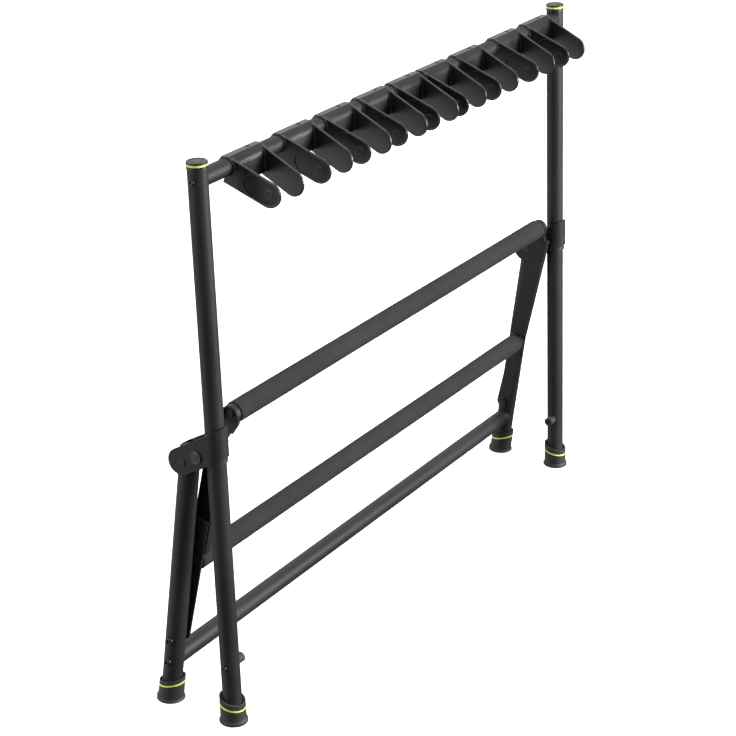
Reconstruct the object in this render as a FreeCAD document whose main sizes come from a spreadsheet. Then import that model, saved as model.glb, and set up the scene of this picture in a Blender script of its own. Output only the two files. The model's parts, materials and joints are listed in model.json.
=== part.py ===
"""Folding guitar rack: two posts with a bar of neck yokes, a rear leg frame, and a foam-covered cradle.

Frame: X along the rack, -Y the side the guitars stand on, +Z up, the floor at Z = 0.
Every pair of pieces is built on the +X side and mirrored in the plane X = 0.
"""
import FreeCAD, Part
import math
import os
import Sketcher
from FreeCAD import Placement, Rotation, Vector

os.makedirs("parts", exist_ok=True)
doc = FreeCAD.newDocument("guitar_rack")
sheet = doc.addObject("Spreadsheet::Sheet", "dims")

# ---------------------------------------------------------------- driving dimensions (mm, degrees)
DIMENSIONS = {
    # posts: two round tubes that lean back
    "post_span": 1000, "post_od": 28, "tube_wall": 1.5, "post_lean": 3, "post_top": 832,
    "post_foot_y": -47.8, "floor_gap": 5,
    # caps on the posts
    "cap_od": 29.4, "cap_height": 10, "cap_plug": 14, "ring_low": 4, "ring_width": 2.5,
    # top bar
    "top_bar_od": 25, "top_bar_height": 816, "plug_length": 26,
    # yokes
    "yoke_count": 9, "yoke_pitch": 103, "yoke_width": 77, "yoke_bore": 25.2,
    "yoke_shell_od": 28.6, "spine_width": 11, "spine_top": 15.1, "flank_y": 10.48, "flank_z": 9.73,
    "pad_drop": 24, "prong_slope": 25, "prong_above": 15, "prong_below": 22.5, "prong_reach": 88.6,
    "prong_thick": 4, "prong_edge": 1.2, "prong_root": 3, "toe_in": 6, "dish_depth": 2,
    "dish_rim": 2.4, "dish_start": 30, "yoke_screw_offset": 13, "yoke_recess_od": 9, "yoke_recess_deep": 1.9,
    "yoke_screw_head": 7,
    # hinge brackets
    "bracket_half": 16, "sheet_thick": 2, "hinge_back": 46.3, "hinge_height": 407,
    "band_slope": 28, "band_half": 20, "nose_back": 3.5, "nose_up": 2.2,
    "clamp_back": 21.6, "clamp_height": 420, "spacer_od": 13.9,
    "hinge_pin": 8, "clamp_pin": 6, "cover_od": 20, "cover_thick": 2.8,
    # rear legs
    "leg_od": 30, "leg_lean": 6.476, "leg_crown": 23.2,
    "low_bar_od": 28, "low_bar_height": 70, "cradle_height": 106.3,
    # cradle
    "cradle_lean": 4.77, "blade_out": 483.5, "blade_thick": 3, "blade_half": 12, "blade_top": 200,
    "web_in": 470, "web_thick": 2.5, "channel_half": 14, "channel_low": 145,
    "mid_bar_height": 127, "upper_bar_height": 363, "cradle_bar_od": 25,
    "mid_foam_od": 31.5, "upper_foam_od": 32, "foam_round": 4,
    "bend_height": 333, "tab_in": 448, "tab_low": 351, "tab_deep": 8, "notch_half": 7,
    # rest pegs
    "peg_height": 91.6, "peg_od": 15, "peg_end": 473,
    # screws
    "screw": 4, "screw_head": 9, "bolt_head": 12, "pivot_bolt": 8, "pivot_head": 13,
    # feet
    "foot_od": 38, "foot_lip_od": 42, "foot_lip": 4, "post_foot_height": 37, "post_foot_slant": 18,
    "post_ring_height": 27, "post_ring_slant": 14, "leg_foot_height": 36, "leg_foot_slant": -20,
    "leg_ring_height": 28, "leg_ring_slant": -18, "foot_ring_depth": 1.2, "ring_proud": 0.3,
    "foot_gap": 2.2, "foot_gap_depth": 4,
}
for row, (name, number) in enumerate(DIMENSIONS.items(), start=1):
    sheet.set(f"A{row}", name)
    sheet.set(f"B{row}", str(number))
    sheet.setAlias(f"B{row}", name)
doc.recompute()

# expressions that several pieces share
POST_X = "dims.post_span / 2"
POST_OUTSIDE = "(dims.post_span + dims.post_od) / 2"
LEG_OUTSIDE = "(dims.post_span + dims.leg_od) / 2"
LEG_INSIDE = "(dims.post_span - dims.leg_od) / 2"
CHEEK_INSIDE = "dims.post_span / 2 + dims.bracket_half"
CHEEK_OUTSIDE = "dims.post_span / 2 + dims.bracket_half + dims.sheet_thick"
CHEEK_INBOARD = "dims.post_span / 2 - dims.bracket_half - dims.sheet_thick"
HINGE_Z = "(dims.hinge_height * cos(dims.post_lean) - dims.hinge_back * sin(dims.post_lean))"
LEG_LENGTH = f"({HINGE_Z} / cos(dims.leg_lean))"

AXIS_X = Vector(1, 0, 0)
ALONG_X = Rotation(Vector(0, 1, 0), 90)
BIG = 400


def size(expression):
    """Number that an expression over the sheet gives."""
    value = sheet.evalExpression(expression)
    return float(getattr(value, "Value", value))


def spot(x="0", y="0", z="0", turn=Rotation()):
    """Placement at a point given by three expressions."""
    return Placement(Vector(size(x), size(y), size(z)), turn)


def tilt(expression):
    """Turn about the X axis."""
    return Rotation(AXIS_X, size(expression))


# ---------------------------------------------------------------- the three leaning frames
FRONT = spot("0", "dims.post_foot_y", "0", tilt("-dims.post_lean"))
HINGE = FRONT.multVec(Vector(0, size("dims.hinge_back"), size("dims.hinge_height")))
leg_foot_y = HINGE.y + HINGE.z * math.tan(math.radians(size("dims.leg_lean")))
LEGS = Placement(Vector(0, leg_foot_y, 0), tilt("dims.leg_lean"))
CRADLE = LEGS.multiply(spot("0", "0", "dims.cradle_height", tilt("dims.cradle_lean")))


# ---------------------------------------------------------------- sketches and bodies
def make_body(name, place):
    body = doc.addObject("PartDesign::Body", name)
    body.Placement = place
    return body


def make_sketch(body, role):
    """Sketch on the origin plane of its own body that has the given role."""
    sketch = body.newObject("Sketcher::SketchObject", body.Name + "_sketch")
    plane = next(item for item in body.Origin.OriginFeatures if item.Role == role)
    sketch.AttachmentSupport = [(plane, "")]
    sketch.MapMode = "FlatFace"
    return sketch


def bind(sketch, constraint, expression):
    number = sketch.addConstraint(constraint)
    sketch.setExpression(f"Constraints[{number}]", expression)


def outline(sketch, corners):
    """Closed outline of straight edges, each corner bound to the sheet."""
    points = [Vector(size(across), size(up), 0) for across, up in corners]
    count = len(points)
    for i in range(count):
        sketch.addGeometry(Part.LineSegment(points[i], points[(i + 1) % count]))
    joints = [Sketcher.Constraint("Coincident", i, 2, (i + 1) % count, 1) for i in range(count)]
    sketch.addConstraint(joints)
    for i, (across, up) in enumerate(corners):
        bind(sketch, Sketcher.Constraint("DistanceX", -1, 1, i, 1, points[i].x), across)
        bind(sketch, Sketcher.Constraint("DistanceY", -1, 1, i, 1, points[i].y), up)


def turned(name, corners, place):
    """Round piece about its own Z axis, from (radius, height) corners."""
    body = make_body(name, place)
    sketch = make_sketch(body, "XZ_Plane")
    outline(sketch, corners)
    turn = body.newObject("PartDesign::Revolution", name + "_turn")
    turn.Profile = sketch
    turn.ReferenceAxis = (sketch, ["V_Axis"])
    turn.Angle = 360
    return body


def drill(body, circles, through=True):
    """Round holes along the body's own X axis, from (across, up, diameter) expressions.

    With through=False a hole runs from the axis plane towards -X only.
    """
    doc.recompute()
    before = body.Shape.Volume
    sketch = make_sketch(body, "YZ_Plane")
    for i, (across, up, diameter) in enumerate(circles):
        centre = Vector(size(across), size(up), 0)
        sketch.addGeometry(Part.Circle(centre, Vector(0, 0, 1), size(diameter) / 2))
        bind(sketch, Sketcher.Constraint("DistanceX", -1, 1, i, 3, centre.x), across)
        bind(sketch, Sketcher.Constraint("DistanceY", -1, 1, i, 3, centre.y), up)
        bind(sketch, Sketcher.Constraint("Diameter", i, size(diameter)), diameter)
    pocket = body.newObject("PartDesign::Pocket", body.Name + "_holes")
    pocket.Profile = sketch
    pocket.Type = "ThroughAll"
    pocket.SideType = "Symmetric" if through else "One side"
    doc.recompute()
    if pocket.Shape.Volume >= before:
        raise RuntimeError(f"{body.Name}: the holes cut nothing")
    return body


def prism(name, role, corners, length, place=Placement()):
    """Straight piece from a sketched outline, reaching half its length each way from the plane."""
    body = make_body(name, place)
    sketch = make_sketch(body, role)
    outline(sketch, corners)
    pad = body.newObject("PartDesign::Pad", name + "_pad")
    pad.Profile = sketch
    pad.SideType = "Symmetric"
    pad.setExpression("Length", length)
    return body


def tube(name, outside, inside, low, high, place):
    """Round tube between two heights, from diameters."""
    corners = [(f"({inside}) / 2", low), (f"({outside}) / 2", low),
               (f"({outside}) / 2", high), (f"({inside}) / 2", high)]
    return turned(name, corners, place)


def pin(name, shank, tip, seat, head, thick, place):
    """Pin along X: shank from tip to seat, then a chamfered head with a round socket."""
    top = f"{seat} + {thick}"
    socket = f"({head}) * 0.22"
    corners = [("0", tip), (f"({shank}) / 2", tip), (f"({shank}) / 2", seat),
               (f"({head}) / 2", seat), (f"({head}) / 2", f"{seat} + ({thick}) * 0.6"),
               (f"({head}) / 2 - ({thick}) * 0.4", top), (socket, top),
               (socket, f"{seat} + ({thick}) * 0.45"), ("0", f"{seat} + ({thick}) * 0.45")]
    return turned(name, corners, place)


# ---------------------------------------------------------------- primitives and booleans
def block(name, corner, sides, frame=Placement()):
    """Box from its low corner and its three sides, in a frame of its own."""
    box = doc.addObject("Part::Box", name)
    for side, expression in zip(("Length", "Width", "Height"), sides):
        box.setExpression(side, expression)
    box.Placement = frame.multiply(spot(*corner))
    return box


def rod(name, radius, length, corner, frame=Placement(), turn=ALONG_X):
    """Cylinder that starts at a point and runs along +X, or along the turned Z axis."""
    cylinder = doc.addObject("Part::Cylinder", name)
    cylinder.setExpression("Radius", radius)
    cylinder.setExpression("Height", length)
    cylinder.Placement = frame.multiply(spot(*corner, turn))
    return cylinder


def fuse(name, pieces, place=Placement()):
    joined = doc.addObject("Part::MultiFuse", name)
    joined.Shapes = pieces
    joined.Refine = True
    joined.Placement = place
    return joined


def common(name, first, second, place=Placement()):
    shared = doc.addObject("Part::Common", name)
    shared.Base = first
    shared.Tool = second
    shared.Placement = place
    return shared


def cut(name, base, tools, place=Placement()):
    """The base without its tools."""
    result = doc.addObject("Part::Cut", name)
    result.Base = base
    result.Tool = tools[0] if len(tools) == 1 else fuse(name + "_tools", tools)
    result.Placement = place
    return result


def mirror(name, source):
    """The same piece on the other side of the plane X = 0."""
    image = doc.addObject("Part::Mirroring", name)
    image.Source = source
    image.Normal = AXIS_X
    return image


# ---------------------------------------------------------------- the nodes that are written
nodes = {}


def keep(label, piece):
    piece.Label = label
    nodes[label] = piece
    return piece


def keep_pair(label, piece):
    """One node with a piece and its mirror image."""
    group = doc.addObject("Part::Compound", label)
    group.Links = [piece, mirror(label + "_mirror", piece)]
    return keep(label, group)


def keep_sides(label, piece):
    """Two nodes, the right-hand piece and its mirror image on the left."""
    keep(label + "_right", piece)
    keep(label + "_left", mirror(label + "_left", piece))


def across(y, z, frame):
    """Placement of a piece whose own Z axis runs along X at the given place in a frame."""
    return frame.multiply(spot("0", y, z, ALONG_X))


# ---------------------------------------------------------------- front frame
def build_posts():
    post = tube("post_right_tube", "dims.post_od", "dims.post_od - 2 * dims.tube_wall",
                "dims.floor_gap", "dims.post_top", FRONT.multiply(spot(POST_X)))
    hole = "dims.screw + 0.2"
    drill(post, [("0", "dims.top_bar_height", hole), ("0", "dims.peg_height", hole)])
    keep_sides("post", post)


def build_caps():
    """Plug and skirt in one, with a groove for the bright ring and a dished top."""
    radius = "dims.cap_od / 2"
    base = "dims.post_top"
    groove = f"{radius} - dims.foot_ring_depth"
    groove_low = f"{base} + dims.ring_low"
    groove_high = f"{base} + dims.ring_low + dims.ring_width"
    top = f"{base} + dims.cap_height"
    plug = "dims.post_od / 2 - dims.tube_wall - 0.1"
    corners = [("0", f"{base} - dims.cap_plug"), (plug, f"{base} - dims.cap_plug"), (plug, base),
               (radius, base), (radius, groove_low), (groove, groove_low),
               (groove, groove_high), (radius, groove_high), (radius, f"{top} - 1"),
               (f"{radius} - 1", top), (f"{radius} - 3.4", top), (f"{radius} - 4", f"{top} - 0.8"),
               (f"{radius} - 6.5", f"{top} - 0.8"), (f"{radius} - 7.1", f"{top} - 0.2"),
               ("0", f"{top} - 0.2")]
    place = FRONT.multiply(spot(POST_X))
    keep_sides("post_cap", turned("cap_right", corners, place))
    ring_od = "dims.cap_od + 2 * dims.ring_proud"
    ring_id = "dims.cap_od - 2 * dims.foot_ring_depth"
    keep_pair("cap_rings", tube("cap_ring", ring_od, ring_id, groove_low, groove_high, place))


def yoke_centres():
    """Centres of the yokes along the bar: an even pitch, less what each has been slid by hand."""
    slides = (2, 20, 19, 15, 3, -15, -17, 1, 3)
    middle = (size("dims.yoke_count") - 1) / 2
    pitch = size("dims.yoke_pitch")
    return [(i - middle) * pitch + slide + 10 for i, slide in enumerate(slides)]


def build_top_bar():
    place = across("0", "dims.top_bar_height", FRONT)
    half = POST_X
    inside = "dims.top_bar_od - 2 * dims.tube_wall"
    bar = tube("top_bar_tube", "dims.top_bar_od", inside, f"-{half}", half, place)
    drill(bar, [("0", half, "dims.post_od"), ("0", f"-{half}", "dims.post_od")])
    holes = [("0", f"{centre} + dims.yoke_screw_offset", "dims.screw") for centre in yoke_centres()]
    drill(bar, holes, through=False)
    keep("top_bar", bar)
    plug = tube("top_bar_plug", inside, "dims.screw",
                f"{half} - dims.post_od / 2 - dims.plug_length", half, place)
    drill(plug, [("0", half, "dims.post_od")])
    keep_pair("top_bar_plugs", plug)
    screw = pin("top_bar_screw", "dims.screw", f"{half} - dims.post_od / 2 - 20", POST_OUTSIDE,
                "dims.screw_head", "2.6", place)
    keep_pair("top_bar_screws", screw)


def prong(name, side):
    """Plate with a round tip, rounded along its edges and dished outside, that toes in to its tip."""
    slope = Placement(Vector(), tilt("dims.prong_slope"))
    tip = "(dims.prong_above + dims.prong_below) / 2"
    middle = "(dims.prong_above - dims.prong_below) / 2"
    reach = f"dims.prong_reach - {tip}"
    inner = "dims.yoke_width / 2 - dims.prong_thick"
    start = inner if side > 0 else "-dims.yoke_width / 2"
    plate = block(name + "_plate", (start, f"-({reach})", "-dims.prong_below"),
                  ("dims.prong_thick", f"{reach} - dims.prong_root",
                   "dims.prong_above + dims.prong_below"), slope)
    end = rod(name + "_end", tip, "dims.prong_thick", (start, f"-({reach})", middle), slope)
    blank = fuse(name + "_blank", [plate, end])
    doc.recompute()
    rounded = doc.addObject("Part::Fillet", name + "_rounded")
    rounded.Base = blank
    radius = size("dims.prong_edge")
    flat = [i for i, edge in enumerate(blank.Shape.Edges, start=1)
            if edge.BoundBox.XLength < 0.01]
    rounded.Edges = [(i, radius, radius) for i in flat]
    floor = "dims.yoke_width / 2 - dims.dish_depth"
    dish_start = floor if side > 0 else "-dims.yoke_width / 2"
    dish_radius = f"{tip} - dims.dish_rim"
    dish_back = f"dims.dish_start + {dish_radius}"
    dish = [block(name + "_dish", (dish_start, f"-({reach})", f"{middle} - ({dish_radius})"),
                  ("dims.dish_depth", f"{reach} - ({dish_back})", f"2 * ({dish_radius})"), slope),
            rod(name + "_dish_tip", dish_radius, "dims.dish_depth",
                (dish_start, f"-({reach})", middle), slope),
            rod(name + "_dish_root", dish_radius, "dims.dish_depth",
                (dish_start, f"-({dish_back})", middle), slope)]
    boss_start = floor if side > 0 else f"-({floor}) - 0.8"
    boss = rod(name + "_boss", "6", "0.8", (boss_start, f"-({reach})", middle), slope)
    root = block(name + "_root", (start, "-dims.prong_root - 4", "-8"),
                 ("dims.prong_thick", "dims.prong_root + 7.5", "dims.prong_above + 8"), slope)
    toe = Rotation(slope.Rotation.multVec(Vector(0, 0, 1)), -side * size("dims.toe_in"))
    hub = Vector(side * size("dims.yoke_width / 2"), 4, 0)
    return fuse(name, [cut(name + "_dished", rounded, dish), boss, root], Placement(Vector(), toe, hub))


def yoke(number, centre):
    """Moulded yoke: a saddle open behind the bar, a flat-topped spine, a pad, and two prongs."""
    name = f"yoke_{number}"
    half = "dims.yoke_width / 2"
    shell_radius = "dims.yoke_shell_od / 2"
    shell = rod(name + "_shell", shell_radius, "dims.yoke_width", (f"-{half}", "0", "0"))
    top = "dims.spine_top"
    flat = "dims.spine_width / 2"
    corners = [("-dims.flank_y", "dims.flank_z"), ("dims.flank_y", "dims.flank_z"), (flat, top),
               (f"-{flat}", top)]
    spine = prism(name + "_spine", "YZ_Plane", corners, "dims.yoke_width")
    mouth = block(name + "_mouth", (f"-{half} - 1", "-6", "-40"), ("dims.yoke_width + 2", "40", "35"))
    saddle = cut(name + "_saddle", fuse(name + "_round", [shell, spine]), [mouth])
    pad = block(name + "_pad", (f"2.5 - {half}", f"-({shell_radius})", "-dims.pad_drop"),
                ("dims.yoke_width - 5", f"{shell_radius} - 6", "dims.pad_drop"))
    solid = fuse(name + "_solid", [saddle, pad, prong(name + "_left", -1), prong(name + "_right", 1)])
    bore = rod(name + "_bore", "dims.yoke_bore / 2", "dims.yoke_width + 2", (f"-{half} - 1", "0", "0"))
    offset = "dims.yoke_screw_offset"
    recess = rod(name + "_recess", "dims.yoke_recess_od / 2", "10",
                 (offset, "0", f"{top} - dims.yoke_recess_deep"), turn=Rotation())
    hole = rod(name + "_hole", "dims.screw / 2 + 0.1", "20", (offset, "0", "5"), turn=Rotation())
    place = FRONT.multiply(spot(str(centre), "0", "dims.top_bar_height"))
    keep(name, cut(name, solid, [bore, recess, hole], place))


def build_yokes():
    seat = "dims.spine_top - dims.yoke_recess_deep"
    head = "dims.yoke_screw_head / 2"
    corners = [("0", "6"), ("dims.screw / 2", "6"), ("dims.screw / 2", seat), (head, seat),
               (head, f"{seat} + 0.7"), (f"{head} - 0.5", f"{seat} + 1.2"),
               ("dims.screw / 3", f"{seat} + 1.2"), ("dims.screw / 3", f"{seat} + 0.3"),
               ("0", f"{seat} + 0.3")]
    screws = []
    for number, centre in enumerate(yoke_centres(), start=1):
        yoke(number, centre)
        place = FRONT.multiply(spot(f"{centre} + dims.yoke_screw_offset", "0", "dims.top_bar_height"))
        screws.append(turned(f"yoke_screw_{number}", corners, place))
    group = doc.addObject("Part::Compound", "yoke_screws")
    group.Links = screws
    keep("yoke_screws", group)


def build_brackets():
    """Folded sheet round the post's front, with two cheeks that carry the hinge behind it."""
    low = "dims.hinge_height - 40"
    tall = "110"
    deep = "dims.hinge_back + 40"
    outer_half = "(dims.bracket_half + dims.sheet_thick)"

    def channel(name, half):
        front = rod(name + "_front", half, tall, (POST_X, "0", low), turn=Rotation())
        back = block(name + "_back", (f"{POST_X} - {half}", "0", low), (f"2 * {half}", deep, tall))
        return fuse(name, [front, back])

    sheet_metal = cut("bracket_channel", channel("bracket_outer", outer_half),
                      [channel("bracket_inner", "dims.bracket_half")])
    hinge = spot("0", "dims.hinge_back", "dims.hinge_height", tilt("-dims.band_slope"))
    start = f"{POST_X} - 30"
    band = block("bracket_band", (start, "-120", "dims.nose_up - dims.band_half"),
                 ("60", "120 + dims.nose_back", "2 * dims.band_half"), hinge)
    nose = rod("bracket_nose", "dims.band_half", "60", (start, "dims.nose_back", "dims.nose_up"), hinge)
    shape = common("bracket_shape", sheet_metal, fuse("bracket_side", [band, nose]))
    pivot_hole = rod("bracket_pivot_hole", "dims.hinge_pin / 2 + 0.1", "60",
                     (start, "dims.hinge_back", "dims.hinge_height"))
    clamp_hole = rod("bracket_clamp_hole", "dims.clamp_pin / 2 + 0.1", "60",
                     (start, "dims.clamp_back", "dims.clamp_height"))
    keep_sides("bracket", cut("bracket_right", shape, [pivot_hole, clamp_hole], FRONT))

    shell = tube("liner_tube", "2 * dims.bracket_half - 0.1", "dims.post_od + 0.1",
                 "dims.hinge_height + 5", "dims.hinge_height + 50", spot(POST_X))
    front = block("liner_front", (start, "-30", low), ("60", "38", tall))
    keep_pair("bracket_liners", common("bracket_liner", shell, front, FRONT))

    clamp = across("dims.clamp_back", "dims.clamp_height", FRONT)
    spacer = tube("clamp_spacer", "dims.spacer_od", "dims.clamp_pin + 0.2",
                  f"{POST_X} - dims.bracket_half", CHEEK_INSIDE, clamp)
    keep_pair("clamp_spacers", spacer)
    keep_pair("clamp_rivets", rivet("clamp_rivet", "dims.clamp_pin", "10", "1", clamp))
    edge = "dims.cover_od / 2"
    face = f"{CHEEK_OUTSIDE} + dims.cover_thick"
    corners = [("5.2", CHEEK_OUTSIDE), (edge, CHEEK_OUTSIDE), (edge, f"{face} - 0.8"),
               (f"{edge} - 0.8", face), (f"{edge} - 2.4", face), (f"{edge} - 2.8", f"{face} - 0.6"),
               (f"{edge} - 4.4", f"{face} - 0.6"), (f"{edge} - 4.8", f"{face} - 0.1"),
               ("0", f"{face} - 0.1"), ("0", f"{CHEEK_OUTSIDE} + 1.1"),
               ("5.2", f"{CHEEK_OUTSIDE} + 1.1")]
    keep_pair("clamp_covers", turned("clamp_cover", corners, clamp))
    hinge_axis = across("dims.hinge_back", "dims.hinge_height", FRONT)
    keep_pair("leg_pivot_rivets", rivet("leg_pivot_rivet", "dims.hinge_pin", "11", "1.5", hinge_axis))


def rivet(name, shank, head, thick, place):
    """Rivet through both cheeks, with a thin flat head inboard and a domed head outside."""
    inboard = f"{CHEEK_INBOARD} - 1"
    top = f"{CHEEK_OUTSIDE} + {thick}"
    corners = [("0", inboard), (f"{shank} / 2 + 1.6", inboard), (f"{shank} / 2 + 2", CHEEK_INBOARD),
               (f"{shank} / 2", CHEEK_INBOARD), (f"{shank} / 2", CHEEK_OUTSIDE),
               (f"{head} / 2", CHEEK_OUTSIDE), (f"{head} / 2", f"{CHEEK_OUTSIDE} + {thick} * 0.4"),
               (f"{head} / 2 - {thick} * 0.5", top), ("0", top)]
    return turned(name, corners, place)


def build_rest_pegs():
    place = across("0", "dims.peg_height", FRONT)
    peg = tube("rest_peg", "dims.peg_od", "dims.screw", "dims.peg_end", POST_X, place)
    drill(peg, [("0", POST_X, "dims.post_od")])
    keep_pair("rest_pegs", peg)
    keep_pair("rest_peg_screws", pin("rest_peg_screw", "dims.screw", "dims.peg_end + 4",
                                     POST_OUTSIDE, "dims.screw_head", "3", place))


# ---------------------------------------------------------------- feet
def foot(kind, tube_od, lean, frame):
    """Rubber boot with a level sole, a flared lip, a slanted top and a slanted bright ring."""
    radius = "dims.foot_od / 2"
    lip = "dims.foot_lip_od / 2"
    tall = f"dims.{kind}_foot_height"
    bore = f"{tube_od} / 2"
    corners = [("0", "-4"), (lip, "-4"), (lip, "dims.foot_lip - 1"), (radius, "dims.foot_lip + 2"),
               (radius, f"{tall} + 20"), (bore, f"{tall} + 20"), (bore, "dims.floor_gap"),
               ("0", "dims.floor_gap")]
    blank = turned(f"{kind}_boot", corners, Placement())
    level = Placement(Vector(), tilt(f"-({lean})"))
    under = block(f"{kind}_boot_under", ("-50", "-50", "-20"), ("100", "100", "20"), level)
    slant = Placement(Vector(0, 0, size(tall)), tilt(f"dims.{kind}_foot_slant"))
    over = block(f"{kind}_boot_over", ("-60", "-60", "0"), ("120", "120", "60"), slant)
    round_tube = rod(f"{kind}_boot_round", f"{bore} + dims.foot_gap", f"{tall} + 20", ("0", "0", "0"),
                     turn=Rotation())
    mouth = block(f"{kind}_boot_mouth", ("-60", "-60", "-dims.foot_gap_depth"), ("120", "120", "60"),
                  slant)
    gap = common(f"{kind}_boot_gap", round_tube, mouth)
    ring_slant = Placement(Vector(0, 0, size(f"dims.{kind}_ring_height")),
                           tilt(f"dims.{kind}_ring_slant"))

    def band(name, outside):
        inside = "dims.foot_od - 2 * dims.foot_ring_depth"
        pipe = tube(name + "_pipe", outside, inside, "0", f"{tall} + 20", Placement())
        slab = block(name + "_slab", ("-60", "-60", "-dims.ring_width / 2"),
                     ("120", "120", "dims.ring_width"), ring_slant)
        return common(name, pipe, slab)

    groove = band(f"{kind}_boot_groove", "dims.foot_od + 8")
    place = frame.multiply(spot(POST_X))
    keep_sides(f"{kind}_foot", cut(f"{kind}_foot_right", blank, [under, over, gap, groove], place))
    ring = band(f"{kind}_foot_ring", "dims.foot_od + 2 * dims.ring_proud")
    ring.Placement = place
    keep_pair(f"{kind}_foot_rings", ring)


# ---------------------------------------------------------------- rear leg frame
def build_legs():
    inside = "dims.leg_od - 2 * dims.tube_wall"
    crown_top = f"{LEG_LENGTH} + dims.leg_crown + 5"
    stock = tube("leg_stock", "dims.leg_od", inside, "dims.floor_gap", crown_top, spot(POST_X))
    below = block("leg_below", (f"{POST_X} - 30", "-30", "0"), ("60", "60", LEG_LENGTH))
    crown = rod("leg_crown_rod", "dims.leg_crown", "60", (f"{POST_X} - 30", "0", LEG_LENGTH))
    rounded = common("leg_rounded", stock, fuse("leg_limit", [below, crown]))
    holes = [("leg_hinge_hole", "dims.hinge_pin / 2 + 0.5", LEG_LENGTH),
             ("leg_cradle_hole", "dims.pivot_bolt / 2 + 0.1", "dims.cradle_height"),
             ("leg_bar_hole", "dims.clamp_pin / 2 + 0.1", "dims.low_bar_height")]
    tools = [rod(name, radius, "60", (f"{POST_X} - 30", "0", up)) for name, radius, up in holes]
    keep_sides("leg", cut("leg_right", rounded, tools, LEGS))


def build_leg_plugs():
    """Nylon plug in the top of each leg, bored for the hinge rivet."""
    radius = "dims.leg_od / 2 - dims.tube_wall - 0.05"
    corners = [("0", f"{LEG_LENGTH} - 25"), (radius, f"{LEG_LENGTH} - 25"),
               (radius, f"{LEG_LENGTH} + 18"), ("0", f"{LEG_LENGTH} + 18")]
    plug = turned("leg_pivot_plug", corners, LEGS.multiply(spot(POST_X)))
    drill(plug, [("0", LEG_LENGTH, "dims.hinge_pin + 0.1")])
    keep_pair("leg_pivot_plugs", plug)


def build_low_bar():
    place = across("0", "dims.low_bar_height", LEGS)
    inside = "dims.low_bar_od - 2 * dims.tube_wall"
    bar = tube("low_bar_tube", "dims.low_bar_od", inside, f"-{POST_X}", POST_X, place)
    drill(bar, [("0", POST_X, "dims.leg_od"), ("0", f"-{POST_X}", "dims.leg_od")])
    keep("low_bar", bar)
    plug = tube("low_bar_plug", inside, "dims.clamp_pin",
                f"{LEG_INSIDE} - dims.plug_length", POST_X, place)
    drill(plug, [("0", POST_X, "dims.leg_od")])
    keep_pair("low_bar_plugs", plug)
    keep_pair("low_bar_bolts", pin("low_bar_bolt", "dims.clamp_pin", f"{LEG_INSIDE} - 20",
                                   LEG_OUTSIDE, "dims.bolt_head", "4", place))


# ---------------------------------------------------------------- cradle
def build_cradle_pivots():
    place = across("0", "dims.cradle_height", LEGS)
    blade_in = "dims.blade_out - dims.blade_thick"
    keep_pair("cradle_pivot_bolts", pin("cradle_pivot_bolt", "dims.pivot_bolt", f"{blade_in} - 8",
                                        LEG_OUTSIDE, "dims.pivot_head", "4", place))
    washer = tube("cradle_pivot_washer", "18", "dims.pivot_bolt + 0.2", "dims.blade_out + 0.1",
                  LEG_INSIDE, place)
    keep_pair("cradle_pivot_washers", washer)
    collar = tube("cradle_nut_collar", "17", "dims.pivot_bolt + 0.1", f"{blade_in} - 1.2", blade_in,
                  CRADLE.multiply(spot(turn=ALONG_X)))
    nut = doc.addObject("Part::Prism", "cradle_nut_prism")
    nut.Polygon = 6
    nut.setExpression("Circumradius", "dims.pivot_head / 2 / cos(30)")
    nut.setExpression("Height", "5.3")
    nut.Placement = CRADLE.multiply(spot(f"{blade_in} - 6.5", turn=ALONG_X))
    bore = rod("cradle_nut_bore", "dims.pivot_bolt / 2 + 0.05", "20", (f"{blade_in} - 12", "0", "0"),
               CRADLE)
    blank = cut("cradle_nut_blank", nut, [bore])
    keep_pair("cradle_pivot_nuts", fuse("cradle_pivot_nut", [blank, collar]))


def arm_trough(name, inboard, bend, half):
    """Upright prism that steps inboard at the bend, with a round top."""
    joggle = f"dims.tab_in + ({inboard})"
    corners = [(f"dims.web_in + ({inboard})", "dims.channel_low"),
               (f"dims.web_in + ({inboard})", f"dims.bend_height + ({bend})"),
               (joggle, f"dims.tab_low + ({bend})"), (joggle, "dims.upper_bar_height + 30"),
               ("dims.tab_in + dims.tab_deep", "dims.upper_bar_height + 30"),
               ("dims.tab_in + dims.tab_deep", "dims.tab_low"),
               ("dims.blade_out - dims.blade_thick", "dims.bend_height"),
               ("dims.blade_out - dims.blade_thick", "dims.channel_low")]
    stock = prism(name + "_stock", "XZ_Plane", corners, f"2 * ({half})")
    straight = block(name + "_straight", ("dims.tab_in - 20", f"-({half})", "0"),
                     ("60", f"2 * ({half})", "dims.upper_bar_height"))
    top = rod(name + "_top", half, "60", ("dims.tab_in - 20", "0", "dims.upper_bar_height"))
    return common(name, stock, fuse(name + "_limit", [straight, top]))


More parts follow.
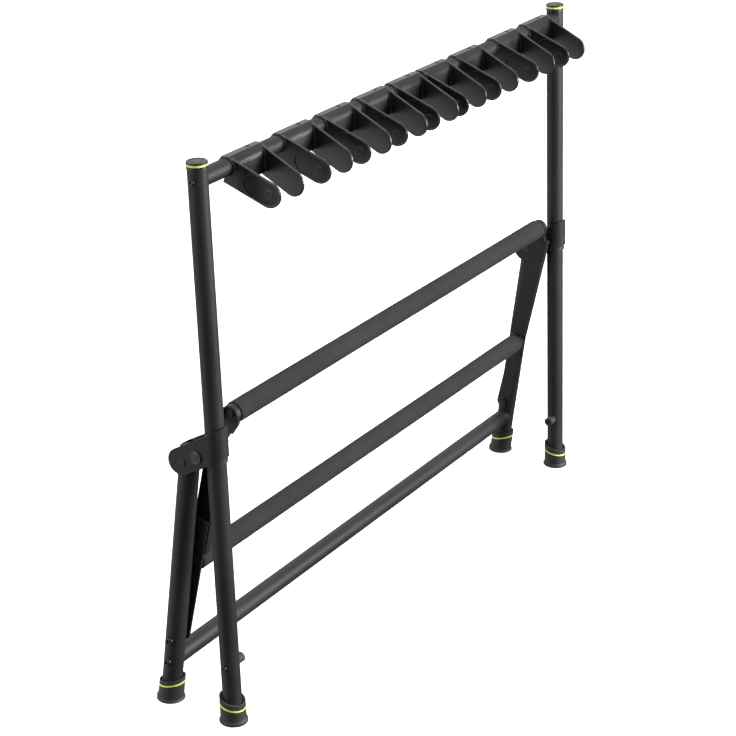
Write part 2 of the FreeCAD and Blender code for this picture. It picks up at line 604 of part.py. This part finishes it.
def build_arms():
    """Pressed arm: a flat blade outboard below, a joggled channel open outboard above."""
    blade_in = "dims.blade_out - dims.blade_thick"
    blade = block("arm_blade", (blade_in, "-dims.blade_half", "0"),
                  ("dims.blade_thick", "2 * dims.blade_half", "dims.blade_top"))
    blade_end = rod("arm_blade_end", "dims.blade_half", "dims.blade_thick", (blade_in, "0", "0"))
    outer = arm_trough("arm_outer", "0", "0", "dims.channel_half")
    inner = arm_trough("arm_inner", "dims.web_thick", "1", "dims.channel_half - dims.web_thick")
    trough = cut("arm_trough", outer, [inner])
    blank = fuse("arm_blank", [blade, blade_end, trough])
    notch_side = "dims.notch_half * sqrt(2)"
    notch = block("arm_notch", ("0", "-dims.channel_half - 1", "0"),
                  (notch_side, "dims.web_thick + 1.5", notch_side),
                  spot("dims.web_in - 4", "0", "dims.bend_height + 5 - dims.notch_half",
                       Rotation(Vector(0, 1, 0), -45)))
    pivot_hole = rod("arm_pivot_hole", "dims.pivot_bolt / 2 + 0.05", "20", (f"{blade_in} - 10", "0", "0"))
    mid_hole = doc.addObject("Part::Cone", "arm_mid_hole")
    mid_hole.setExpression("Radius1", "dims.screw / 2 + 0.1")
    mid_hole.setExpression("Radius2", "dims.screw_head / 2 + 0.1")
    mid_hole.setExpression("Height", "dims.blade_thick")
    mid_hole.Placement = spot(blade_in, "0", "dims.mid_bar_height", ALONG_X)
    upper_hole = rod("arm_upper_hole", "dims.screw / 2 + 0.1", "20",
                     ("dims.tab_in - 5", "0", "dims.upper_bar_height"))
    keep_sides("arm", cut("arm_right", blank, [notch, pivot_hole, mid_hole, upper_hole], CRADLE))


def cradle_bar(kind, end, foam_end, seat_head):
    """Tube with a foam sleeve, a plug in each end, and a screw through each arm."""
    place = across("0", f"dims.{kind}_bar_height", CRADLE)
    inside = "dims.cradle_bar_od - 2 * dims.tube_wall"
    keep(f"{kind}_bar", tube(f"{kind}_bar_tube", "dims.cradle_bar_od", inside, f"-({end})", end, place))
    foam = f"dims.{kind}_foam_od / 2"
    core = "dims.cradle_bar_od / 2"
    soft = "dims.foam_round"
    corners = [(core, f"-({foam_end})"), (f"{foam} - {soft} / 3", f"-({foam_end})"),
               (foam, f"-({foam_end}) + {soft} / 2"), (foam, f"({foam_end}) - {soft} / 2"),
               (f"{foam} - {soft} / 3", foam_end), (core, foam_end)]
    keep(f"{kind}_bar_foam", turned(f"{kind}_foam", corners, place))
    plug = tube(f"{kind}_bar_plug", inside, "dims.screw", f"{end} - dims.plug_length", end, place)
    keep_pair(f"{kind}_bar_plugs", plug)
    keep_pair(f"{kind}_bar_screws", seat_head(f"{kind}_bar_screw", end, place))


def flush_screw(name, end, place):
    """Countersunk screw, level with the outside of the blade."""
    corners = [("0", f"{end} - 20"), ("dims.screw / 2", f"{end} - 20"), ("dims.screw / 2", end),
               ("dims.screw_head / 2", "dims.blade_out"), ("1.2", "dims.blade_out"),
               ("1.2", "dims.blade_out - 1.4"), ("0", "dims.blade_out - 1.4")]
    return turned(name, corners, place)


def panhead_screw(name, end, place):
    """Screw whose head bears on the web, inside the channel."""
    return pin(name, "dims.screw", f"{end} - 20", "dims.tab_in + dims.web_thick",
               "dims.screw_head", "3", place)


# ---------------------------------------------------------------- build, check and write
build_posts()
build_caps()
build_top_bar()
build_yokes()
build_brackets()
build_rest_pegs()
foot("post", "dims.post_od", "-dims.post_lean", FRONT)
foot("leg", "dims.leg_od", "dims.leg_lean", LEGS)
build_legs()
build_leg_plugs()
build_low_bar()
build_cradle_pivots()
build_arms()
cradle_bar("mid", "dims.blade_out - dims.blade_thick", "dims.blade_out - dims.blade_thick - 1.5",
           flush_screw)
cradle_bar("upper", "dims.tab_in", "dims.tab_in - 2", panhead_screw)
doc.recompute()

for item in doc.Objects:
    if "Invalid" in item.State or "Error" in item.State:
        raise RuntimeError(f"{item.Name} did not compute: {item.State}")
for label, piece in nodes.items():
    if piece.Shape.isNull() or not piece.Shape.isValid() or not piece.Shape.Solids:
        raise RuntimeError(f"{label} is not a sound solid")
for label, piece in nodes.items():
    piece.Shape.exportStep(f"parts/{label}.step")

whole = FreeCAD.BoundBox()
for piece in nodes.values():
    whole.add(piece.Shape.BoundBox)
print(f"{len(nodes)} nodes, {whole}")
print(f"middle in Y {whole.Center.y:.3f}, hinge {HINGE}, cradle pivot {CRADLE.Base}")
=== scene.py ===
"""Folding guitar rack: materials, foam sleeves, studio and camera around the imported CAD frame."""
import json
import math

import bmesh
import bpy
from mathutils import Matrix, Vector, noise


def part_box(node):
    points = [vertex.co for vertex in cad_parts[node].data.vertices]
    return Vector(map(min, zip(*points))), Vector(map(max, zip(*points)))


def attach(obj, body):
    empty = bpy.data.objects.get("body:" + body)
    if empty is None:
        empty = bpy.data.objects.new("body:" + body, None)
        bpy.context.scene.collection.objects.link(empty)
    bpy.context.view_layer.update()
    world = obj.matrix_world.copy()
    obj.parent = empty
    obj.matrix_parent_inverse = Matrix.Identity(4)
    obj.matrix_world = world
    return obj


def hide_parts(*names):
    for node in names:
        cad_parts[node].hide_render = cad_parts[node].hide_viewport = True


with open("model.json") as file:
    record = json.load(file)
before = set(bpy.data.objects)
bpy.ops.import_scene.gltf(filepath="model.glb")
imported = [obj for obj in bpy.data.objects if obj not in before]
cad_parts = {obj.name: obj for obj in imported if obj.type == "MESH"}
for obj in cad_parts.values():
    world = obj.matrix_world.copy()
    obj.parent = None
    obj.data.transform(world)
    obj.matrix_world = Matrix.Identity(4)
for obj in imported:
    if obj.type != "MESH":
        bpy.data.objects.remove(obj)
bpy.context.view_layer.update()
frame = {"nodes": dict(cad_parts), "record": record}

# Sockets of a Mix node that is set to mix colours.
MIX_FIRST, MIX_SECOND, MIX_RESULT = 6, 7, 2
BEVEL_SAMPLES = 6


# ---------------------------------------------------------------- node material helpers
def new_material(name):
    """A node material with one Principled shader."""
    material = bpy.data.materials.new(name)
    material.use_nodes = True
    tree = material.node_tree
    tree.nodes.clear()
    output = tree.nodes.new("ShaderNodeOutputMaterial")
    shader = tree.nodes.new("ShaderNodeBsdfPrincipled")
    tree.links.new(shader.outputs["BSDF"], output.inputs["Surface"])
    return material, tree, shader


def add(tree, kind, **values):
    """A node with the given properties; names of sockets are set as inputs."""
    node = tree.nodes.new(kind)
    for key, value in values.items():
        if key in node.inputs:
            node.inputs[key].default_value = value
        else:
            setattr(node, key, value)
    return node


def noise_of(tree, scale, detail=4.0, rough=0.55):
    """Noise over the object's own coordinates, in features per metre."""
    place = tree.nodes.new("ShaderNodeTexCoord")
    texture = add(tree, "ShaderNodeTexNoise", Scale=scale, Detail=detail, Roughness=rough)
    tree.links.new(place.outputs["Object"], texture.inputs["Vector"])
    return texture.outputs["Fac"]


def ramp(tree, value, stops):
    """Colour ramp from (position, colour) stops."""
    node = tree.nodes.new("ShaderNodeValToRGB")
    elements = node.color_ramp.elements
    while len(elements) < len(stops):
        elements.new(0.5)
    for element, (position, colour) in zip(elements, stops):
        element.position = position
        element.color = (*colour, 1.0)
    tree.links.new(value, node.inputs["Fac"])
    return node.outputs["Color"]


def two_tone(tree, drift, dark, light, margin=0.3):
    """Dark to light over the middle of a noise, which seldom leaves the margin at either end."""
    return ramp(tree, drift, [(margin, dark), (1.0 - margin, light)])


def spread(tree, value, low, high):
    """A noise's middle part stretched to a range."""
    node = tree.nodes.new("ShaderNodeMapRange")
    node.inputs["From Min"].default_value = 0.3
    node.inputs["From Max"].default_value = 0.7
    node.inputs["To Min"].default_value = low
    node.inputs["To Max"].default_value = high
    tree.links.new(value, node.inputs["Value"])
    return node.outputs["Result"]


def softened_normal(tree, radius):
    """Normal of the surface as if its edges were rounded to a radius."""
    bevel = add(tree, "ShaderNodeBevel", samples=BEVEL_SAMPLES, Radius=radius)
    return bevel.outputs["Normal"]


def edge_mask(tree, radius, gain):
    """1 along sharp edges, 0 on flats: how far a bevelled normal leans from the true one."""
    softened = softened_normal(tree, radius)
    geometry = tree.nodes.new("ShaderNodeNewGeometry")
    dot = add(tree, "ShaderNodeVectorMath", operation="DOT_PRODUCT")
    tree.links.new(softened, dot.inputs[0])
    tree.links.new(geometry.outputs["Normal"], dot.inputs[1])
    lean = add(tree, "ShaderNodeMath", operation="SUBTRACT")
    lean.inputs[0].default_value = 1.0
    tree.links.new(dot.outputs["Value"], lean.inputs[1])
    scaled = add(tree, "ShaderNodeMath", operation="MULTIPLY", use_clamp=True)
    scaled.inputs[1].default_value = gain
    tree.links.new(lean.outputs[0], scaled.inputs[0])
    return scaled.outputs[0]


def times(factor, colour):
    """A colour made brighter by a factor."""
    return tuple(factor * c for c in colour)


def mixed(tree, factor, first, second):
    """First colour where the factor is 0, second where it is 1."""
    node = add(tree, "ShaderNodeMix", data_type="RGBA")
    tree.links.new(factor, node.inputs["Factor"])
    tree.links.new(first, node.inputs[MIX_FIRST])
    node.inputs[MIX_SECOND].default_value = (*second, 1.0)
    return node.outputs[MIX_RESULT]


def combined(tree, how, first, second):
    """Two linked colours laid over each other in full, by ADD or MULTIPLY."""
    node = add(tree, "ShaderNodeMix", data_type="RGBA", blend_type=how)
    node.inputs["Factor"].default_value = 1.0
    tree.links.new(first, node.inputs[MIX_FIRST])
    tree.links.new(second, node.inputs[MIX_SECOND])
    return node.outputs[MIX_RESULT]


def bump_chain(tree, shader, layers, bevel=None):
    """Bumps from (height, distance, strength) laid over each other, on a softened edge."""
    normal = softened_normal(tree, bevel) if bevel else None
    for height, distance, strength in layers:
        node = add(tree, "ShaderNodeBump", Distance=distance, Strength=strength)
        tree.links.new(height, node.inputs["Height"])
        if normal:
            tree.links.new(normal, node.inputs["Normal"])
        normal = node.outputs["Normal"]
    tree.links.new(normal, shader.inputs["Normal"])


# ---------------------------------------------------------------- materials
def powder_coat(name, dark, light, grain, roughness, bevel=0.0006):
    """Powder-coated steel: fine orange-peel texture, slow tone drift, rubbed edges."""
    material, tree, shader = new_material(name)
    drift = noise_of(tree, 7.0, 3.0)
    speck = noise_of(tree, grain, 2.0, 0.7)
    peel = noise_of(tree, grain * 0.28)
    base = two_tone(tree, drift, dark, light, margin=0.35)
    specked = mixed(tree, spread(tree, speck, 0.0, 0.30), base, times(1.7, light))
    rubbed = edge_mask(tree, radius=0.0012, gain=2.0)
    tree.links.new(mixed(tree, rubbed, specked, times(2.4, light)), shader.inputs["Base Color"])
    gloss = spread(tree, drift, roughness - 0.05, roughness + 0.07)
    tree.links.new(gloss, shader.inputs["Roughness"])
    shader.inputs["Specular IOR Level"].default_value = 0.26
    bump_chain(tree, shader, [(speck, 0.00022, 0.35), (peel, 0.0003, 0.16)], bevel)
    return material


def moulded_plastic(name, dark, light, roughness, bevel, wear_and_highlight=2.0):
    """Black injection-moulded plastic: fine spark texture, edges paler by a factor: rubbed at the
    low default, and a painted highlight at a high factor, as on the yokes.
    """
    material, tree, shader = new_material(name)
    drift = noise_of(tree, 18.0, 3.0)
    spark = noise_of(tree, 2600.0, 2.0, 0.65)
    base = two_tone(tree, drift, dark, light)
    # Paler edges: rubbed at the default factor; at the yokes' high factor this is a painted
    # highlight along the edges.
    rubbed = edge_mask(tree, radius=0.0026, gain=4.0)
    tree.links.new(mixed(tree, rubbed, base, times(wear_and_highlight, light)), shader.inputs["Base Color"])
    gloss = spread(tree, drift, roughness - 0.05, roughness + 0.06)
    tree.links.new(gloss, shader.inputs["Roughness"])
    shader.inputs["Specular IOR Level"].default_value = 0.6
    bump_chain(tree, shader, [(spark, 0.00012, 0.30)], bevel)
    return material


def foam_rubber(name, dark, light):
    """Closed-cell foam: small pores darkened with painted shade, soft cells, very dull, with a
    faint sheen.
    """
    material, tree, shader = new_material(name)
    drift = noise_of(tree, 9.0, 3.0)
    cell = noise_of(tree, 900.0, 3.0, 0.7)
    place = tree.nodes.new("ShaderNodeTexCoord")
    pores = add(tree, "ShaderNodeTexVoronoi", feature="F1", Scale=620.0)
    tree.links.new(place.outputs["Object"], pores.inputs["Vector"])
    depth = pores.outputs["Distance"]
    base = two_tone(tree, drift, dark, light)
    mottled = mixed(tree, spread(tree, cell, 0.0, 0.5), base, times(1.8, light))
    # Painted shade: the colour is darkened towards each pore's centre.
    pinhole_shade = ramp(tree, depth, [(0.0, (0.35, 0.35, 0.35)), (0.35, (1.0, 1.0, 1.0))])
    tree.links.new(combined(tree, "MULTIPLY", mottled, pinhole_shade), shader.inputs["Base Color"])
    tree.links.new(spread(tree, cell, 0.72, 0.92), shader.inputs["Roughness"])
    shader.inputs["Specular IOR Level"].default_value = 0.08
    shader.inputs["Sheen Weight"].default_value = 0.02
    shader.inputs["Sheen Roughness"].default_value = 0.5
    bump_chain(tree, shader, [(cell, 0.0005, 0.45), (depth, 0.0004, 0.35)])
    return material


def moulded_rubber(name, dark, light):
    """Matt rubber with a dusty bloom and a slightly uneven skin."""
    material, tree, shader = new_material(name)
    drift = noise_of(tree, 30.0, 4.0)
    skin = noise_of(tree, 1500.0, 3.0, 0.6)
    base = two_tone(tree, drift, dark, light)
    rubbed = edge_mask(tree, radius=0.001, gain=1.4)
    tree.links.new(mixed(tree, rubbed, base, times(2.2, light)), shader.inputs["Base Color"])
    tree.links.new(spread(tree, drift, 0.55, 0.72), shader.inputs["Roughness"])
    shader.inputs["Specular IOR Level"].default_value = 0.4
    bump_chain(tree, shader, [(skin, 0.0002, 0.30)], bevel=0.0007)
    return material


def bright_plastic(name, dark, light):
    """Lime ring: coloured plastic with a little unevenness in tone."""
    material, tree, shader = new_material(name)
    drift = noise_of(tree, 60.0, 3.0)
    tree.links.new(two_tone(tree, drift, dark, light), shader.inputs["Base Color"])
    tree.links.new(spread(tree, drift, 0.34, 0.46), shader.inputs["Roughness"])
    bump_chain(tree, shader, [(noise_of(tree, 2000.0, 2.0), 0.0001, 0.2)], bevel=0.0004)
    return material


def black_zinc(name, dark, light):
    """Blackened steel screws: thin dark plating, brighter where tools have rubbed it."""
    material, tree, shader = new_material(name)
    drift = noise_of(tree, 250.0, 4.0)
    base = two_tone(tree, drift, dark, light)
    rubbed = edge_mask(tree, radius=0.0006, gain=2.0)
    tree.links.new(mixed(tree, rubbed, base, times(3.5, light)), shader.inputs["Base Color"])
    shader.inputs["Metallic"].default_value = 0.75
    tree.links.new(spread(tree, drift, 0.28, 0.45), shader.inputs["Roughness"])
    bump_chain(tree, shader, [(noise_of(tree, 1800.0, 2.0), 0.0001, 0.2)], bevel=0.0004)
    return material


# Record slot to finish. The two colours are the darkest and lightest of the slow tone drift.
finishes = {
    "tube_paint": powder_coat("tube_powder_coat", (0.014, 0.014, 0.0145), (0.020, 0.020, 0.0205),
                              grain=1500.0, roughness=0.50),
    "sheet_paint": powder_coat("sheet_powder_coat", (0.012, 0.012, 0.0125), (0.018, 0.018, 0.0185),
                               grain=1700.0, roughness=0.48),
    # The yokes' edges are made nine times paler: a painted highlight along the edges.
    "yoke_plastic": moulded_plastic("yoke_moulded", (0.010, 0.010, 0.0103), (0.015, 0.015, 0.0153),
                                    roughness=0.29, bevel=0.0009, wear_and_highlight=9.0),
    "cap_plastic": moulded_plastic("cap_moulded", (0.012, 0.012, 0.0125), (0.018, 0.018, 0.018),
                                   roughness=0.34, bevel=0.0006),
    "bright_ring": bright_plastic("lime_ring", (0.66, 0.88, 0.14), (0.76, 0.95, 0.18)),
    "foot_rubber": moulded_rubber("boot_rubber", (0.022, 0.022, 0.0225), (0.032, 0.032, 0.0325)),
    "foam": foam_rubber("foam_skin", (0.018, 0.018, 0.0185), (0.027, 0.027, 0.0278)),
    "black_screw": black_zinc("black_zinc", (0.030, 0.030, 0.032), (0.050, 0.050, 0.052)),
    "nylon": moulded_plastic("black_nylon", (0.014, 0.014, 0.014), (0.022, 0.022, 0.022),
                             roughness=0.45, bevel=0.0004),
}


def paint_frame():
    """Every CAD node takes the finish of its record slot."""
    slots = {entry["node"]: entry["material_slot"] for entry in frame["record"]["subparts"]}
    for name, node in frame["nodes"].items():
        node.data.materials.clear()
        node.data.materials.append(finishes[slots[name]])


# ---------------------------------------------------------------- foam sleeves
SLEEVE_ROUNDING = 0.0035        # radius of the soft edge at each end
SLEEVE_INSET = 0.0004           # keeps the uneven skin inside the CAD solid
SLEEVE_SLOW = 0.00035           # height of the long waves in the skin
SLEEVE_FINE = 0.00012           # height of the short ones
BORE_CLEARANCE = 0.0001         # between the bar and the inside of the foam
END_STEPS, SLEEVE_SPANS, SLEEVE_AROUND = 6, 160, 48


def lathe_along(name, start, end, rings, around):
    """Closed skin round the line from start to end, from (share along, radius at angle) rings."""
    mesh = bmesh.new()
    axis = end - start
    side = Vector((0, 0, 1)).cross(axis).normalized()
    up = axis.normalized().cross(side)
    loops = []
    for along, radius in rings:
        centre = start + axis * along
        loop = []
        for i in range(around):
            turn = 2 * math.pi * i / around
            out = side * math.cos(turn) + up * math.sin(turn)
            loop.append(mesh.verts.new(centre + out * radius(centre, out)))
        loops.append(loop)
    for first, second in zip(loops, loops[1:]):
        for i in range(around):
            j = (i + 1) % around
            mesh.faces.new((first[i], first[j], second[j], second[i]))
    for i in range(around):
        j = (i + 1) % around
        mesh.faces.new((loops[-1][i], loops[-1][j], loops[0][j], loops[0][i]))
    bmesh.ops.recalc_face_normals(mesh, faces=mesh.faces)
    data = bpy.data.meshes.new(name)
    mesh.to_mesh(data)
    mesh.free()
    for face in data.polygons:
        face.use_smooth = True
    piece = bpy.data.objects.new(name, data)
    bpy.context.scene.collection.objects.link(piece)
    return piece


def foam_sleeve(kind):
    """Foam tube pushed over its bar: soft rounded ends, and a skin that is never quite even."""
    low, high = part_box(f"{kind}_bar_foam")
    tube_low, tube_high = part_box(f"{kind}_bar")
    centre = (low + high) / 2
    core = (tube_high.z - tube_low.z) / 2
    full = (high.z - low.z) / 2
    start = Vector((low.x, centre.y, centre.z))
    end = Vector((high.x, centre.y, centre.z))
    length = high.x - low.x

    def skin(shrink):
        def radius(place, out):
            slow = noise.noise(Vector((place.x * 5, out.y * 0.6, out.z * 0.6))) * SLEEVE_SLOW
            fine = noise.noise(Vector((place.x * 45, out.y * 2.5, out.z * 2.5))) * SLEEVE_FINE
            return full - SLEEVE_INSET + slow + fine - shrink
        return radius

    def bore(place, out):
        return core + BORE_CLEARANCE

    def end_ring(turn):
        """How far in from the end a ring of the rounded edge is, and its radius."""
        along = SLEEVE_ROUNDING * (1 - math.cos(turn)) / length
        return along, skin(SLEEVE_ROUNDING * (1 - math.sin(turn)))

    rings = [(0.0, bore)]
    for i in range(END_STEPS + 1):
        rings.append(end_ring(math.pi / 2 * i / END_STEPS))
    margin = SLEEVE_ROUNDING / length
    for i in range(1, SLEEVE_SPANS):
        rings.append((margin + (1 - 2 * margin) * i / SLEEVE_SPANS, skin(0.0)))
    for i in range(END_STEPS + 1):
        along, radius = end_ring(math.pi / 2 * (1 - i / END_STEPS))
        rings.append((1 - along, radius))
    rings.append((1.0, bore))
    piece = lathe_along(f"{kind}_foam_sleeve", start, end, rings, SLEEVE_AROUND)
    piece.data.materials.append(finishes["foam"])
    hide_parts(f"{kind}_bar_foam")
    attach(piece, "cradle")


# ---------------------------------------------------------------- studio
FLOOR_SIZE = 60
WALL_RADIUS, WALL_HEIGHT = 28, 40
WALL_DIP = 0.1                  # how far the wall goes below the floor, so no gap shows
LAMP_AIM = Vector((0, 0, 0.4))  # the middle of the rack


def hang_lamp(name, kind, place, power, size):
    """Soft lamp that points at the rack; size is a square lamp's width, or a sun's angle."""
    light = bpy.data.lights.new(name, kind)
    light.energy = power
    if kind == "SUN":
        light.angle = size
    else:
        light.shape = "SQUARE"
        light.size = size
    lamp = bpy.data.objects.new(name, light)
    lamp.location = place
    lamp.rotation_euler = (LAMP_AIM - place).to_track_quat("-Z", "Y").to_euler()
    lamp.visible_camera = False
    bpy.context.scene.collection.objects.link(lamp)


def hide_from(stand, *rays):
    """Keeps a floor or wall out of some kinds of ray, such as glossy."""
    for ray in rays:
        setattr(stand, f"visible_{ray}", False)


def grey_ramp(tree, value, stops):
    """Ramp of greys from (position, brightness) stops."""
    return ramp(tree, value, [(position, (grey, grey, grey)) for position, grey in stops])


def floor_and_wall():
    """White ground that gives off a little light, hidden from reflections so tubes stay dark."""
    material, tree, shader = new_material("studio_white")
    tint = grey_ramp(tree, noise_of(tree, 0.5), [(0.0, 0.90), (1.0, 0.92)])
    tree.links.new(tint, shader.inputs["Base Color"])
    shader.inputs["Roughness"].default_value = 0.9
    shader.inputs["Specular IOR Level"].default_value = 0.1
    shader.inputs["Emission Color"].default_value = (1.0, 1.0, 1.0, 1.0)
    shader.inputs["Emission Strength"].default_value = 0.55

    bpy.ops.mesh.primitive_plane_add(size=FLOOR_SIZE, location=(0, 0, 0))
    floor = bpy.context.object
    floor.name = "studio_floor"
    floor.data.materials.append(material)
    hide_from(floor, "glossy", "diffuse")

    bpy.ops.mesh.primitive_cylinder_add(vertices=96, radius=WALL_RADIUS, depth=WALL_HEIGHT,
                                        location=(0, 0, WALL_HEIGHT / 2 - WALL_DIP),
                                        end_fill_type="NOTHING")
    wall = bpy.context.object
    wall.name = "studio_wall"
    wall.data.materials.append(material)
    hide_from(wall, "glossy", "diffuse", "transmission", "shadow")


def sky():
    """Pale from above, and from the whole rear half; dark low down in front."""
    world = bpy.data.worlds.new("studio_world")
    bpy.context.scene.world = world
    world.use_nodes = True
    tree = world.node_tree
    background = tree.nodes["Background"]
    place = tree.nodes.new("ShaderNodeTexCoord")
    parts = tree.nodes.new("ShaderNodeSeparateXYZ")
    tree.links.new(place.outputs["Generated"], parts.inputs["Vector"])
    above = grey_ramp(tree, parts.outputs["Z"],
                      [(0.0, 0.05), (0.03, 0.12), (0.35, 0.30), (1.0, 0.95)])
    rear = grey_ramp(tree, parts.outputs["Y"],
                     [(0.0, 0.0), (0.12, 0.0), (0.45, 0.72), (1.0, 0.72)])
    tree.links.new(combined(tree, "ADD", above, rear), background.inputs["Color"])
    background.inputs["Strength"].default_value = 1.0


def studio():
    """White ground, sky and lamps."""
    floor_and_wall()
    sky()
    hang_lamp("top_lamp", "SUN", Vector((0.6, 0.6, 4.0)), power=1.0, size=math.radians(60))
    hang_lamp("front_lamp", "AREA", Vector((1.4, -3.4, 1.3)), power=330, size=1.8)
    hang_lamp("low_lamp", "AREA", Vector((-3.2, 1.4, 1.0)), power=26, size=1.4)
    bpy.context.scene.view_settings.view_transform = "Standard"


def camera():
    """Camera off the left post, above the bar, with a long lens."""
    place = Vector((-2.6135, -1.5897, 1.712))
    yaw, pitch, roll = 1.0134, 0.4147, 0.0118
    forward = Vector((math.sin(yaw) * math.cos(pitch), math.cos(yaw) * math.cos(pitch),
                      -math.sin(pitch)))
    level = Vector((math.cos(yaw), -math.sin(yaw), 0.0))
    above = level.cross(forward)
    right = level * math.cos(roll) + above * math.sin(roll)
    up = above * math.cos(roll) - level * math.sin(roll)
    data = bpy.data.cameras.new("camera")
    data.lens = 103.95
    data.sensor_width = 36.0
    data.shift_x = -0.0022
    data.shift_y = -0.0038
    data.clip_end = 60.0
    eye = bpy.data.objects.new("camera", data)
    turn = Matrix((right, up, -forward)).transposed().to_4x4()
    eye.matrix_world = Matrix.Translation(place) @ turn
    bpy.context.scene.collection.objects.link(eye)
    bpy.context.scene.camera = eye


paint_frame()
foam_sleeve("mid")
foam_sleeve("upper")
studio()
camera()
